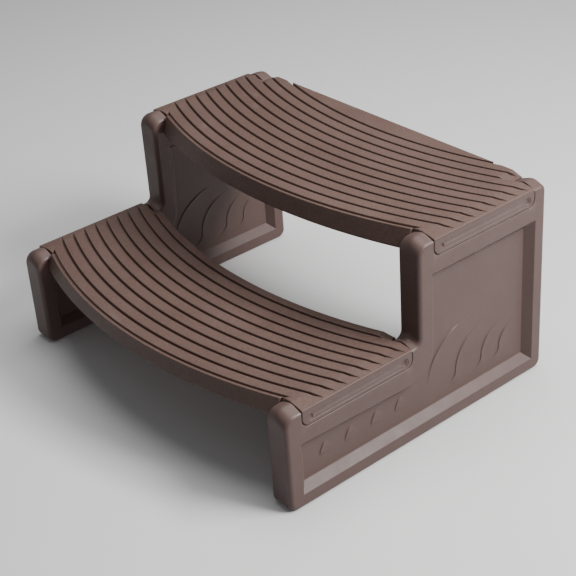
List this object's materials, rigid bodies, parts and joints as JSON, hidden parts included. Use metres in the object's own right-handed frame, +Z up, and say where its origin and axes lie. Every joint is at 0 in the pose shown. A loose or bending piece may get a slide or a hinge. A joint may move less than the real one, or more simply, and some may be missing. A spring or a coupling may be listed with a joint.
{
  "type": "spa steps",
  "caption": "Low spa steps: hollow stepped side panels, notched to take curved treads with arched anti-slip grooves, held by screws from inside.",
  "frame": {"origin": "on the floor, under the middle of the outer box (the treads' bulging front edge and the panels' back edge set its depth)", "axes": "+Z up; the front, with the low tread, faces -Y and the steps rise towards +Y, where the spa stands; +X to the right of someone facing the back from the front"},
  "size_m": [0.778, 0.642, 0.381],
  "materials": {
    "side_panel": "brown blow-moulded polyethylene, satin with a faint grain",
    "tread": "brown blow-moulded polyethylene, rib tops with a fine grain",
    "screw": "plain stainless steel"
  },
  "bodies": {
    "root": {"side_panel_left": "side_panel", "side_panel_right": "side_panel", "lower_tread": "tread", "upper_tread": "tread", "screw_lower_left_front": "screw", "screw_lower_left_rear": "screw", "screw_lower_right_front": "screw", "screw_lower_right_rear": "screw", "screw_upper_left_front": "screw", "screw_upper_left_rear": "screw", "screw_upper_right_front": "screw", "screw_upper_right_rear": "screw"}
  },
  "joints": []
}
